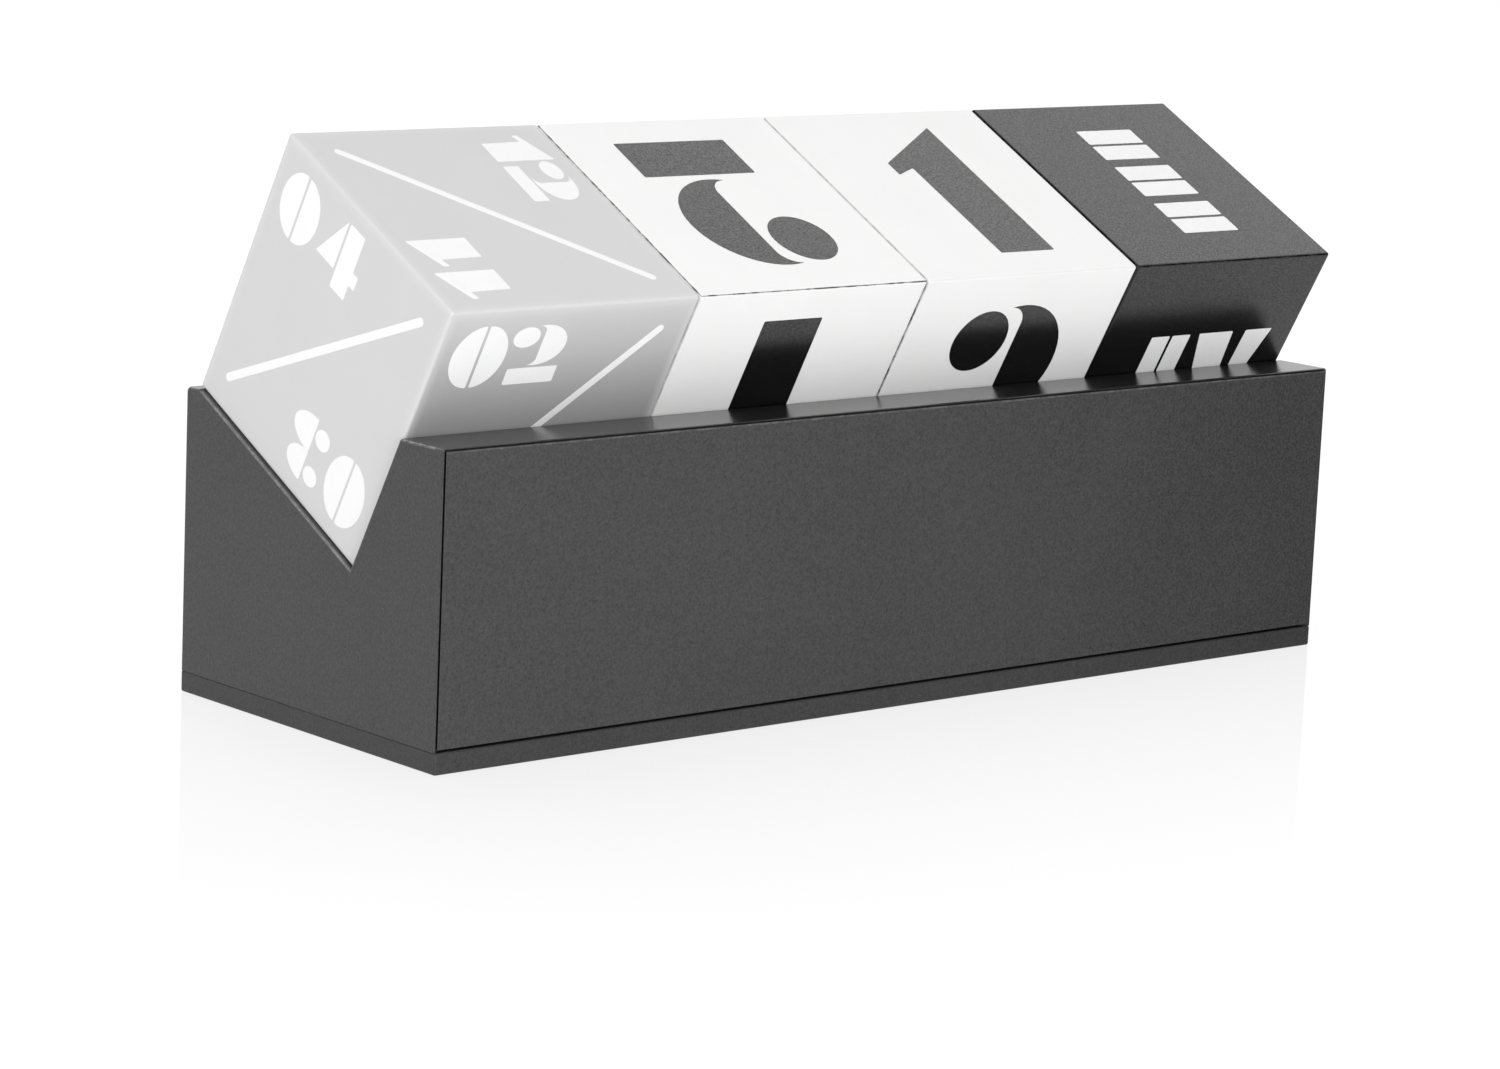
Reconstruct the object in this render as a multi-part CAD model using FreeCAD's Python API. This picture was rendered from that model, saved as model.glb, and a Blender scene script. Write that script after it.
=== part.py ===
import FreeCAD, Part
import math
import os

# Perpetual desk calendar: four cubes lie in a leaning V groove on top of a box,
# and a drawer slides out of the box under the groove.
# Millimetres. X runs along the groove, -Y is the drawer's side, +Z is up.
# The origin is the centre of the base plate's underside.

# ---- driving dimensions ----
cube_side = 50.0
cube_count = 4
cube_gap = 0.2            # between neighbouring cubes
cube_wall = 2.5
cube_edge_radius = 0.5
cube_inset = 0.9          # end of the row of cubes, in from the end of the holder
lean_deg = 28.0           # how far the cubes lean back

holder_height = 51.8
front_ledge = 11.5        # flat strip in front of the groove
rear_ledge = 3.7          # flat strip behind the groove
cube_overhang = 1.0       # how far a cube stands out past the rear flank's edge
panel_thickness = 7.0
flank_thickness = 3.0
base_thickness = 3.6
base_chamfer = 0.2        # around the base plate's top: the hairline under the end panels
outer_radius = 0.4        # all round both end faces, and along the lower edges
rim_radius = 0.5          # groove rims and front top edge
rear_radius = 1.0         # rear top edge

mitre_gap = 0.3           # round the drawer front's mitred edges
drawer_reveal = 0.5       # gap under the drawer front
drawer_float = 0.2        # under the drawer's sides
side_clearance = 0.3      # drawer side to guide
rear_clearance = 0.5      # drawer back to rear panel
rail_clearance = 0.4      # behind the drawer front
headroom = 0.4            # drawer's top edges to stop rail
drawer_board = 3.0
drawer_bottom_thickness = 2.0
drawer_bottom_rise = 0.8
bottom_groove = 1.2

guide_width = 2.5
guide_height = 8.0
stop_rail_width = 4.0
stop_rail_height = 9.0
stop_overlap = 3.5        # how far the stop pins stand up in front of the stop rail
pin_clearance = 1.0       # stop pins to the underside of the groove
pin_radius = 0.9
pin_depth = 8.0
pin_offset = 70.0         # from the middle, along X
pin_fit = 0.02
stop_clearance = 0.3      # left between the pins and the stop rail when the drawer is out
screw_offset = 60.0       # from the middle, along X
screw_radius = 1.25
screw_depth = 4.5         # into the drawer front
screw_head_radius = 2.6
screw_head_height = 1.6
screw_fit = 0.05

# ---- derived sizes ----
lean = math.radians(lean_deg)
row_length = cube_count * cube_side + (cube_count - 1) * cube_gap
holder_length = row_length + 2 * cube_inset
half_length = holder_length / 2
flank_length = cube_side - cube_overhang
groove_depth = flank_length * math.sin(lean)
groove_z = holder_height - groove_depth
groove_to_front = front_ledge + groove_depth * math.tan(lean)
holder_depth = groove_to_front + flank_length * math.cos(lean) + rear_ledge
front_y = -holder_depth / 2
rear_y = holder_depth / 2
groove_y = front_y + groove_to_front
inner_front_y = front_y + panel_thickness
inner_rear_y = rear_y - panel_thickness
inner_half_length = half_length - panel_thickness
rail_underside = holder_height - panel_thickness

groove_underside = groove_z - flank_thickness * (math.sin(lean) + math.cos(lean))
pin_top = groove_underside - pin_clearance
drawer_top = pin_top - stop_overlap
drawer_floor = base_thickness + drawer_float
drawer_half_length = inner_half_length - guide_width - side_clearance
drawer_rear_y = inner_rear_y - rear_clearance
stop_rail_y = inner_front_y + rail_clearance
pin_y = drawer_rear_y - drawer_board / 2
drawer_travel = pin_y - pin_radius - (stop_rail_y + stop_rail_width) - stop_clearance
beyond = 5.0              # cutting shapes reach this far past the work
same_place = 1e-6         # points closer than this are one

up_flank = (math.cos(lean), math.sin(lean))        # rear flank's direction in Y, Z
up_front = (-math.sin(lean), math.cos(lean))       # front flank's direction in Y, Z


def along(start, direction, distance):
    """A point in Y, Z that lies a distance from another."""
    return (start[0] + direction[0] * distance, start[1] + direction[1] * distance)


def block(x0, x1, y0, y1, z0, z1):
    return Part.makeBox(x1 - x0, y1 - y0, z1 - z0, FreeCAD.Vector(x0, y0, z0))


def prism_x(outline, x0, x1):
    """A solid along X from an outline in Y, Z."""
    points = [FreeCAD.Vector(x0, y, z) for y, z in outline]
    face = Part.Face(Part.makePolygon(points + points[:1]))
    return face.extrude(FreeCAD.Vector(x1 - x0, 0, 0))


def prism_z(outline, z0, z1):
    """A solid along Z from an outline in X, Y."""
    points = [FreeCAD.Vector(x, y, z0) for x, y in outline]
    face = Part.Face(Part.makePolygon(points + points[:1]))
    return face.extrude(FreeCAD.Vector(0, 0, z1 - z0))


def edges_where(solid, test):
    """The edges whose ends both pass a test."""
    return [edge for edge in solid.Edges if all(test(vertex.Point) for vertex in edge.Vertexes)]


def edges_along_x(solid, y, z):
    """The edges that run along X through a point of the cross-section."""
    return edges_where(solid, lambda p: abs(p.y - y) < same_place and abs(p.z - z) < same_place)


def edges_on_ends(solid):
    """The outlines of both end faces."""
    left = edges_where(solid, lambda p: abs(p.x + half_length) < same_place)
    right = edges_where(solid, lambda p: abs(p.x - half_length) < same_place)
    return left + right


def holder_envelope():
    """The whole holder's outer shape, which its visible pieces are cut from."""
    groove_root = (groove_y, groove_z)
    front_rim = (front_y + front_ledge, holder_height)
    rear_rim = (rear_y - rear_ledge, holder_height)
    front_top = (front_y, holder_height)
    rear_top = (rear_y, holder_height)
    front_foot = (front_y, 0)
    rear_foot = (rear_y, 0)
    outline = [front_foot, front_top, front_rim, groove_root, rear_rim, rear_top, rear_foot]
    solid = prism_x(outline, -half_length, half_length)
    for corner, radius in (
        (front_top, rim_radius),
        (front_rim, rim_radius),
        (rear_rim, rim_radius),
        (rear_top, rear_radius),
    ):
        solid = solid.makeFillet(radius, edges_along_x(solid, *corner))
    foot_edges = edges_along_x(solid, *front_foot) + edges_along_x(solid, *rear_foot)
    return solid.makeFillet(outer_radius, edges_on_ends(solid) + foot_edges)


def base_plate(envelope):
    slab = block(-half_length, half_length, front_y, rear_y, 0, base_thickness)
    plate = envelope.common(slab)
    rim = edges_where(plate, lambda p: abs(p.z - base_thickness) < same_place)
    return plate.makeChamfer(base_chamfer, rim)


def left_end_panel(envelope):
    """The left end of the box, mitred to the long panels."""
    plan = [
        (-half_length, front_y),
        (-inner_half_length, inner_front_y),
        (-inner_half_length, inner_rear_y),
        (-half_length, rear_y),
    ]
    return envelope.common(prism_z(plan, base_thickness, holder_height))


def mirrored(piece):
    """The same piece for the other end of the holder."""
    return piece.mirror(FreeCAD.Vector(0, 0, 0), FreeCAD.Vector(1, 0, 0))


def rear_panel(envelope):
    plan = [
        (-half_length, rear_y),
        (half_length, rear_y),
        (inner_half_length, inner_rear_y),
        (-inner_half_length, inner_rear_y),
    ]
    return envelope.common(prism_z(plan, base_thickness, holder_height))


def top_rail(envelope):
    """The front ledge: mitred at both ends, and along its front over the drawer front."""
    outline = [
        (front_y, holder_height),
        (inner_front_y, rail_underside),
        (groove_y, rail_underside),
        (groove_y, holder_height),
    ]
    plan = [
        (-half_length, front_y),
        (half_length, front_y),
        (inner_half_length, inner_front_y),
        (inner_half_length, groove_y),
        (-inner_half_length, groove_y),
        (-inner_half_length, inner_front_y),
    ]
    lengthwise = prism_x(outline, -half_length, half_length)
    across = prism_z(plan, rail_underside, holder_height)
    return envelope.common(lengthwise).common(across)


def front_flank():
    """The steep side of the groove, standing on the rear flank's lower edge."""
    root = (groove_y, groove_z)
    toe = along(root, up_flank, -flank_thickness)
    outline = [
        root,
        toe,
        along(toe, up_front, (rail_underside - toe[1]) / math.cos(lean)),
        along(root, up_front, (rail_underside - groove_z) / math.cos(lean)),
    ]
    return prism_x(outline, -inner_half_length, inner_half_length)


def rear_flank():
    """The sloping side of the groove, that the cubes lie on."""
    toe = along((groove_y, groove_z), up_flank, -flank_thickness)
    heel = along(toe, up_front, -flank_thickness)
    outline = [
        toe,
        along(toe, up_flank, (inner_rear_y - toe[0]) / math.cos(lean)),
        along(heel, up_flank, (inner_rear_y - heel[0]) / math.cos(lean)),
        heel,
    ]
    return prism_x(outline, -inner_half_length, inner_half_length)


def drawer_guide(side):
    """A strip beside the drawer, on the base plate and against the end panel."""
    near, far = sorted((side * (inner_half_length - guide_width), side * inner_half_length))
    return block(near, far, stop_rail_y, inner_rear_y, base_thickness, base_thickness + guide_height)


def stop_rail():
    """A cross rail behind the drawer front: it holds the drawer down and stops its pins."""
    low = drawer_top + headroom
    return block(
        -inner_half_length,
        inner_half_length,
        stop_rail_y,
        stop_rail_y + stop_rail_width,
        low,
        low + stop_rail_height,
    )


def screw_shanks(extra):
    """The two screws' shanks, or their holes with extra radius."""
    start = inner_front_y - screw_depth
    length = screw_depth + drawer_board
    height = (drawer_floor + drawer_top) / 2
    shanks = []
    for side in (-1, 1):
        base = FreeCAD.Vector(side * screw_offset, start, height)
        shanks.append(Part.makeCylinder(screw_radius + extra, length, base, FreeCAD.Vector(0, 1, 0)))
    return shanks


def screw_heads():
    height = (drawer_floor + drawer_top) / 2
    heads = []
    for side in (-1, 1):
        base = FreeCAD.Vector(side * screw_offset, inner_front_y + drawer_board, height)
        head = Part.makeCylinder(screw_head_radius, screw_head_height, base, FreeCAD.Vector(0, 1, 0))
        top_y = base.y + screw_head_height
        rim = edges_where(head, lambda p: abs(p.y - top_y) < same_place)
        heads.append(head.makeFillet(screw_head_height / 2, rim))
    return heads


def front_screws():
    """Both pan-head screws that hold the drawer front to the drawer's box."""
    return Part.makeCompound([a.fuse(b) for a, b in zip(screw_shanks(0), screw_heads())])


def pins(extra):
    """The two stop pins, or their holes with extra radius."""
    found = []
    for side in (-1, 1):
        base = FreeCAD.Vector(side * pin_offset, pin_y, drawer_top - pin_depth)
        found.append(Part.makeCylinder(pin_radius + extra, pin_top - base.z, base))
    return found


def drawer_front(envelope):
    """The long front panel, mitred at both ends and along the top, with a gap all round."""
    offset = mitre_gap * math.sqrt(2)
    low = base_thickness + drawer_reveal
    plan = [
        (-half_length + offset, front_y),
        (half_length - offset, front_y),
        (inner_half_length - offset, inner_front_y),
        (-inner_half_length + offset, inner_front_y),
    ]
    outline = [
        (front_y, low),
        (front_y, holder_height - offset),
        (inner_front_y, rail_underside - offset),
        (inner_front_y, low),
    ]
    lengthwise = prism_x(outline, -half_length, half_length)
    across = prism_z(plan, low, holder_height)
    panel = envelope.common(lengthwise).common(across)
    for hole in screw_shanks(screw_fit):
        panel = panel.cut(hole)
    return panel


def drawer_bottom():
    half = drawer_half_length - drawer_board + bottom_groove
    low = drawer_floor + drawer_bottom_rise
    return block(
        -half,
        half,
        inner_front_y + drawer_board - bottom_groove,
        drawer_rear_y - drawer_board + bottom_groove,
        low,
        low + drawer_bottom_thickness,
    )


def drawer_inner_front():
    front = inner_front_y
    board = block(
        -drawer_half_length,
        drawer_half_length,
        front,
        front + drawer_board,
        drawer_floor,
        drawer_top,
    )
    board = board.cut(drawer_bottom())
    for hole in screw_shanks(screw_fit):
        board = board.cut(hole)
    return board


def drawer_side(side):
    near, far = sorted((side * (drawer_half_length - drawer_board), side * drawer_half_length))
    board = block(near, far, inner_front_y + drawer_board, drawer_rear_y, drawer_floor, drawer_top)
    return board.cut(drawer_bottom())


def drawer_back():
    half = drawer_half_length - drawer_board
    board = block(-half, half, drawer_rear_y - drawer_board, drawer_rear_y, drawer_floor, drawer_top)
    board = board.cut(drawer_bottom())
    for hole in pins(pin_fit):
        board = board.cut(hole)
    return board


def lid_wedge(turn_deg):
    """The quarter of a cube that belongs to one face, out past the face; 0 is the top face."""
    half = cube_side / 2
    reach = half + beyond
    outline = [(0, 0), (-reach, reach), (reach, reach)]
    sideways = prism_x(outline, -reach, reach)
    points = [FreeCAD.Vector(x, -reach, z) for x, z in outline]
    face = Part.Face(Part.makePolygon(points + points[:1]))
    lengthwise = face.extrude(FreeCAD.Vector(0, 2 * reach, 0))
    wedge = sideways.common(lengthwise)
    wedge.rotate(FreeCAD.Vector(0, 0, 0), FreeCAD.Vector(1, 0, 0), turn_deg)
    wedge.translate(FreeCAD.Vector(half, half, half))
    return wedge


def seat_cube(solid, index):
    """Lays a cube made at the origin into its place in the groove."""
    left = -half_length + cube_inset + index * (cube_side + cube_gap)
    placed = solid.copy()
    placed.rotate(FreeCAD.Vector(0, 0, 0), FreeCAD.Vector(1, 0, 0), lean_deg)
    placed.translate(FreeCAD.Vector(left, groove_y, groove_z))
    return placed


def cube_pieces(index, turn_deg):
    """A hollow cube: a box of five faces, and a lid with its edges mitred into it."""
    solid = Part.makeBox(cube_side, cube_side, cube_side)
    solid = solid.makeFillet(cube_edge_radius, solid.Edges)
    inside = cube_side - cube_wall
    hollow = solid.cut(block(cube_wall, inside, cube_wall, inside, cube_wall, inside))
    wedge = lid_wedge(turn_deg)
    return seat_cube(hollow.cut(wedge), index), seat_cube(hollow.common(wedge), index)


def whole(name, shape):
    """Checks a piece and takes it out of the compound that a cut leaves it in."""
    solids = shape.Solids
    if name.endswith(("screws", "pins")):
        shape = Part.makeCompound(solids)
    elif len(solids) == 1:
        shape = solids[0]
    else:
        raise RuntimeError(name + " has " + str(len(solids)) + " solids")
    if not shape.isValid():
        raise RuntimeError(name + " is not valid")
    return shape


def build():
    envelope = holder_envelope()
    left_end = left_end_panel(envelope)
    nodes = {
        "base_plate": base_plate(envelope),
        "left_end_panel": left_end,
        "right_end_panel": mirrored(left_end),
        "rear_panel": rear_panel(envelope),
        "top_rail": top_rail(envelope),
        "front_flank": front_flank(),
        "rear_flank": rear_flank(),
        "left_drawer_guide": drawer_guide(-1),
        "right_drawer_guide": drawer_guide(1),
        "stop_rail": stop_rail(),
        "drawer_front": drawer_front(envelope),
        "drawer_inner_front": drawer_inner_front(),
        "drawer_left_side": drawer_side(-1),
        "drawer_right_side": drawer_side(1),
        "drawer_back": drawer_back(),
        "drawer_bottom": drawer_bottom(),
        "drawer_stop_pins": Part.makeCompound(pins(0)),
        "drawer_front_screws": front_screws(),
    }
    # Each cube's name, and how far its lid is turned from the top face towards the groove.
    cubes = (("month", -90), ("tens", 0), ("units", 180), ("weekday", 0))
    for index, (name, turn_deg) in enumerate(cubes):
        shell, lid = cube_pieces(index, turn_deg)
        nodes[name + "_cube_shell"] = shell
        nodes[name + "_cube_lid"] = lid
    return {name: whole(name, shape) for name, shape in nodes.items()}


os.makedirs("parts", exist_ok=True)
for node_name, node_shape in build().items():
    node_shape.exportStep("parts/" + node_name + ".step")
    box = node_shape.BoundBox
    print(f"{node_name:22s} {box.XLength:7.2f} {box.YLength:6.2f} {box.ZLength:6.2f}"
          f"  {node_shape.Volume / 1000:7.2f} cm3")
print(f"holder {holder_length:.2f} x {holder_depth:.2f} x {holder_height:.2f}")
print(f"groove root y {groove_y:.2f} z {groove_z:.2f}, drawer top {drawer_top:.2f}, travel {drawer_travel:.2f}")
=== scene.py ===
import math

import bmesh
import bpy
from mathutils import Matrix, Vector


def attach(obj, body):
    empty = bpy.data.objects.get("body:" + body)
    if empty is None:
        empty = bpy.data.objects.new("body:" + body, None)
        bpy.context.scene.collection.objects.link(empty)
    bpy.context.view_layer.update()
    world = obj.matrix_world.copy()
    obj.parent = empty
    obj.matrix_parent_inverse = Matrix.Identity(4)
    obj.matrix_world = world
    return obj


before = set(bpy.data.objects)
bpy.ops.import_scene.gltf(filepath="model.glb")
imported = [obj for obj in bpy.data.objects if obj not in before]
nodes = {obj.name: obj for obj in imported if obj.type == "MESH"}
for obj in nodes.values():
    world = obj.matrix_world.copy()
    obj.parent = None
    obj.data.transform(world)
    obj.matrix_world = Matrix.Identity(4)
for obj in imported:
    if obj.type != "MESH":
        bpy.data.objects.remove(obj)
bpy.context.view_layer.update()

# %% [markdown]
# ## The camera
# A product picture of a small box is taken with a long lens from a little above, so that its
# edges stay nearly parallel. The camera is described the way a photographer would: the direction
# it looks along, how far away it stands, and how much it is rolled. Its three axes follow from
# those angles, and they go straight into its matrix.
# %% Place the camera
LOOK_AZIMUTH = math.radians(41.33)
LOOK_DOWN = math.radians(10.366)
ROLL = math.radians(2.504)
CAMERA_DISTANCE = 0.79036
AIM = Vector((-0.00626, 0.00044, 0.02422))
LENS = 108.53
SENSOR = 36.0
NEAREST_SEEN = 0.01


def new_object(name, data):
    """A new object in the scene, at the origin, unturned and unscaled."""
    made = bpy.data.objects.new(name, data)
    bpy.context.scene.collection.objects.link(made)
    return made


forward = Vector(
    (
        math.sin(LOOK_AZIMUTH) * math.cos(LOOK_DOWN),
        math.cos(LOOK_AZIMUTH) * math.cos(LOOK_DOWN),
        -math.sin(LOOK_DOWN),
    )
)
level = Vector((math.cos(LOOK_AZIMUTH), -math.sin(LOOK_AZIMUTH), 0))
right = level * math.cos(ROLL) + level.cross(forward) * math.sin(ROLL)
up = right.cross(forward)
camera = new_object("camera", bpy.data.cameras.new("camera"))
camera.data.lens = LENS
camera.data.sensor_width = SENSOR
camera.data.clip_start = NEAREST_SEEN
turn = Matrix((right, up, -forward)).transposed().to_4x4()
camera.matrix_world = Matrix.Translation(AIM - forward * CAMERA_DISTANCE) @ turn
bpy.context.scene.camera = camera
print("camera at", [round(v, 3) for v in camera.location])

# %% [markdown]
# ## Sizes shared with the model
# Every size below is in millimetres, the unit of the workshop drawing. The groove's root line runs
# along X. From it the rear flank rises at 28 degrees, and the cubes stand square on that flank. So
# each cube has its own two directions: along the flank, and away from it.
# %% Name the sizes
MM = 0.001
SIDE = 50.0  # of a cube
PITCH = 50.2  # from one cube to the next
FIRST_LEFT = -100.3  # the first cube's left side
ROOT_Y = -11.62  # the groove's root line
ROOT_Z = 28.80
LEAN = math.radians(28)
HALF_LENGTH = 101.2  # of the box
HALF_DEPTH = 35.35
HEIGHT = 51.8
X_AXIS = Vector((1, 0, 0))
UP_FLANK = Vector((0, math.cos(LEAN), math.sin(LEAN)))
OFF_FLANK = Vector((0, -math.sin(LEAN), math.cos(LEAN)))
CUBES = ("month", "tens", "units", "weekday")


def cube_middle(which):
    """The middle of a cube, in millimetres."""
    left = FIRST_LEFT + PITCH * CUBES.index(which)
    return Vector((left + SIDE / 2, ROOT_Y, ROOT_Z)) + (UP_FLANK + OFF_FLANK) * SIDE / 2


print("cube middles at x =", [round(cube_middle(which).x, 1) for which in CUBES])

# %% [markdown]
# ## Shader maths as plain expressions
# A material in Blender is a graph of nodes, and maths in it means many small Math nodes. This
# class wraps one output socket, so that an expression such as `1 - mask * 2` adds those nodes by
# itself. Only plain numbers go through it. Colours have their own Mix node.
# %% Wrap a socket


class Signal:
    """One output socket of a shader graph."""

    def __init__(self, tree, socket):
        self.tree = tree
        self.socket = socket

    def maths(self, operation, *terms):
        node = self.tree.nodes.new("ShaderNodeMath")
        node.operation = operation
        for socket, term in zip(node.inputs, terms):
            feed(self.tree, socket, term)
        return Signal(self.tree, node.outputs[0])

    def __add__(self, other):
        return self.maths("ADD", self, other)

    def __sub__(self, other):
        return self.maths("SUBTRACT", self, other)

    def __rsub__(self, other):
        return self.maths("SUBTRACT", other, self)

    def __mul__(self, other):
        return self.maths("MULTIPLY", self, other)

    def __truediv__(self, other):
        return self.maths("DIVIDE", self, other)

    def __pow__(self, other):
        return self.maths("POWER", self, other)

    def __abs__(self):
        return self.maths("ABSOLUTE", self)

    __radd__ = __add__
    __rmul__ = __mul__


def feed(tree, socket, value):
    """Links a signal to a socket, or writes a plain value on it."""
    if isinstance(value, Signal):
        tree.links.new(value.socket, socket)
    else:
        socket.default_value = value


print("signals ready")

# %% [markdown]
# ## One method for every other node
# The `add` method makes any node from its type, its settings and what its sockets hold. The other
# methods here give a pattern its coordinates. They are Object coordinates, because those stay with
# the piece when it moves, and they are turned into millimetres. For a cube they are also centred
# on it and leaned back with it, so that its faces lie square to them.
# %% Write nodes


class Graph:
    """The nodes of a material, or of the world, in the making."""

    def __init__(self, name, owner=None):
        self.owner = owner or bpy.data.materials.new(name)
        self.owner.use_nodes = True
        self.tree = self.owner.node_tree
        self.tree.nodes.clear()

    def add(self, kind, settings=None, sockets=None, output=0):
        node = self.tree.nodes.new(kind)
        for key, value in (settings or {}).items():
            setattr(node, key, value)
        for key, value in (sockets or {}).items():
            feed(self.tree, node.inputs[key], value)
        return Signal(self.tree, node.outputs[output]) if len(node.outputs) else None

    def place(self, centre=(0, 0, 0), lean=0.0):
        """Object coordinates in millimetres from a centre, turned back by a lean."""
        here = self.add("ShaderNodeTexCoord", output="Object")
        sockets = {"Vector": here, "Location": [c * MM for c in centre], "Scale": (MM, MM, MM)}
        sockets["Rotation"] = (lean, 0, 0)
        return self.add("ShaderNodeMapping", {"vector_type": "TEXTURE"}, sockets)

    def split(self, vector):
        parts = self.add("ShaderNodeSeparateXYZ", None, {0: vector})
        return [Signal(self.tree, s) for s in parts.socket.node.outputs]

    def stretch(self, vector, factors):
        return self.add("ShaderNodeVectorMath", {"operation": "MULTIPLY"}, {0: vector, 1: factors})


print("graphs ready")

# %% [markdown]
# ## The patterns of a finish
# Paint, plastic and ink need only a handful of patterns: noise, soft steps, the least or most of
# several masks, and blends of two colours. `near` is the one that is used most. It asks how close
# a value is to a limit, such as a point's height to the height of the box, and so finds edges.
# %% Name the patterns


class Finish(Graph):
    """A material with the patterns that it is mixed from."""

    def noise(self, vector, scale, detail=2.0, rough=0.5):
        sockets = {"Vector": vector, "Scale": scale, "Detail": detail, "Roughness": rough}
        return self.add("ShaderNodeTexNoise", None, sockets)

    def step(self, value, low, high):
        """0 below low, 1 above high and a soft rise between. Low may be the larger one."""
        sockets = {"Value": value, "From Min": low, "From Max": high}
        return self.add("ShaderNodeMapRange", {"interpolation_type": "SMOOTHSTEP"}, sockets)

    def near(self, value, limit, start, full):
        """0 until start millimetres before the limit, and 1 from full millimetres before it."""
        return self.step(value, limit - start, limit - full)

    def least(self, low, *others):
        for other in others:
            low = low.maths("MINIMUM", low, other)
        return low

    def most(self, high, *others):
        for other in others:
            high = high.maths("MAXIMUM", high, other)
        return high

    def blend(self, amount, under, over):
        """One colour over another."""
        return self.add("ShaderNodeMix", {"data_type": "RGBA"}, {0: amount, 6: under, 7: over}, 2)

    def shaded(self, tone, shade):
        """A grey that is lighter or darker from place to place."""
        sockets = {0: (tone,) * 3, "Scale": shade}
        return self.add("ShaderNodeVectorMath", {"operation": "SCALE"}, sockets)

    def bump(self, height, depth):
        return self.add("ShaderNodeBump", None, {"Height": height, "Distance": depth * MM})

    def surface(self, sockets, dust_and_shade=None, dust_and_shade_colour=None):
        """Ends the graph in the usual shader, with a dull dark tone over it where there is dust or
        painted shade.
        """
        shader = self.add("ShaderNodeBsdfPrincipled", None, sockets)
        if dust_and_shade:
            dull = self.add("ShaderNodeBsdfDiffuse", None, {"Color": dust_and_shade_colour})
            shader = self.add("ShaderNodeMixShader", None, {0: dust_and_shade, 1: shader, 2: dull})
        self.add("ShaderNodeOutputMaterial", None, {"Surface": shader})
        return self.owner


def grey(value, warmth=0.0):
    """A grey as a colour. Warmth lifts red and lowers blue a little."""
    return (value * (1 + warmth), value, value * (1 - warmth), 1)


print("finishes ready, a middle grey is", grey(0.5))

# %% [markdown]
# ## Where the box is worn, and its painted highlights
# The black coat is thin, and wears lighter, on the ends of the top edges. Along the rim of the V and
# the lip of the long front it is painted lighter too, as a painted highlight on a rounded edge. A
# picture of a worn box could be wrapped round it instead, but it would blur when seen close. So
# masks are built from where a point is on the box, and each one places a mark, with its distances
# from an edge in millimetres. The lip is a line just under the top edge, so it is one mask that has
# begun times one that hasn't ended. The rim of the V is found in the cubes' leaning coordinates.
# %% Find the worn places and the painted highlights
# The rim's pale line is a painted highlight along the V's rounded edge.
RIM_INSET = 0.18  # the middle of the worn line, in from the flank
RIM_START = 0.26  # half its width, where it begins
RIM_FULL = 0.08  # and where it is full
PAST_ROOT = 0.6  # how far it runs past the groove's root
FLAW_SCALE = 0.55


def wear_and_highlights(paint, place, top):
    """1 where the coat is worn pale or has a painted highlight. Flaws break some marks more than
    others.
    """
    x, y, z = paint.split(place)
    near_end = paint.near(abs(x), HALF_LENGTH, 0.55, 0.1)
    end_edge = near_end * paint.near(z, HEIGHT, 0.55, 0.1)
    under_top = paint.near(z, HEIGHT, 0.82, 0.62) * paint.near(z, HEIGHT, 0.30, 0.36)
    # The lip's pale line is a painted highlight along the front's rounded top edge.
    lip = paint.near(-1 * y, HALF_DEPTH, 0.3, 0.1) * under_top * (1 - near_end)
    up_rear, up_front = paint.split(paint.place((0, ROOT_Y, ROOT_Z), LEAN))[1:]
    # Painted highlight along both rims of the V.
    rear_rim = paint.step(abs(up_front + RIM_INSET), RIM_START, RIM_FULL)
    rear_rim = rear_rim * paint.step(up_rear, -PAST_ROOT, 0.0)
    front_rim = paint.step(abs(up_rear + RIM_INSET), RIM_START, RIM_FULL)
    front_rim = front_rim * paint.step(up_front, -PAST_ROOT, 0.0)
    end_face = paint.near(abs(x), HALF_LENGTH, 0.7, 0.35) * (1 - top)
    rim = paint.most(rear_rim, front_rim) * end_face
    flaws = paint.step(paint.noise(place, FLAW_SCALE, 4.0, 0.7), 0.44, 0.62)
    marks = end_edge * (0.2 + flaws * 0.8) + lip * (0.1 + flaws * 0.3)
    return marks + rim * (0.55 + flaws * 0.45)


print("worn places: end edges, lip and rim")

# %% [markdown]
# ## Black lacquer
# The box is fibre board sprayed with a matt black lacquer. A sprayed coat dries to a fine pebbled
# skin, like thin leather, which breaks up every reflection. Painted light and shade run along the
# box: the coat is made a little paler towards the left end and darker towards the right. The top
# edges are worn smoother by hands and by the cubes. There the skin is nearly flat, and a thin clear
# coat on it mirrors the cubes. The base plate has a darker tone, a painted shade, so the mix is a
# function of its tone.
# %% Mix the black lacquer
PEBBLE_SCALE = 2.3
PEBBLE_CONTRAST = 2.9
PEBBLE_DEPTH = 0.08
CLOUD_SCALE = 0.035
CLOUD_CONTRAST = 0.35
PAINTED_LIGHT_LEFT = 0.31
PAINTED_SHADE_RIGHT = 0.3
TOP_FLATTER = 0.8
TOP_SMOOTHER = 0.29
TOP_TONE = 0.5
WEAR_AND_HIGHLIGHT = 0.8
WEAR_AND_HIGHLIGHT_TONE = 7.0
CLEAR_COAT = 0.25
CLEAR_COAT_ROUGHNESS = 0.21
LACQUER_IOR = 1.39


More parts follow.
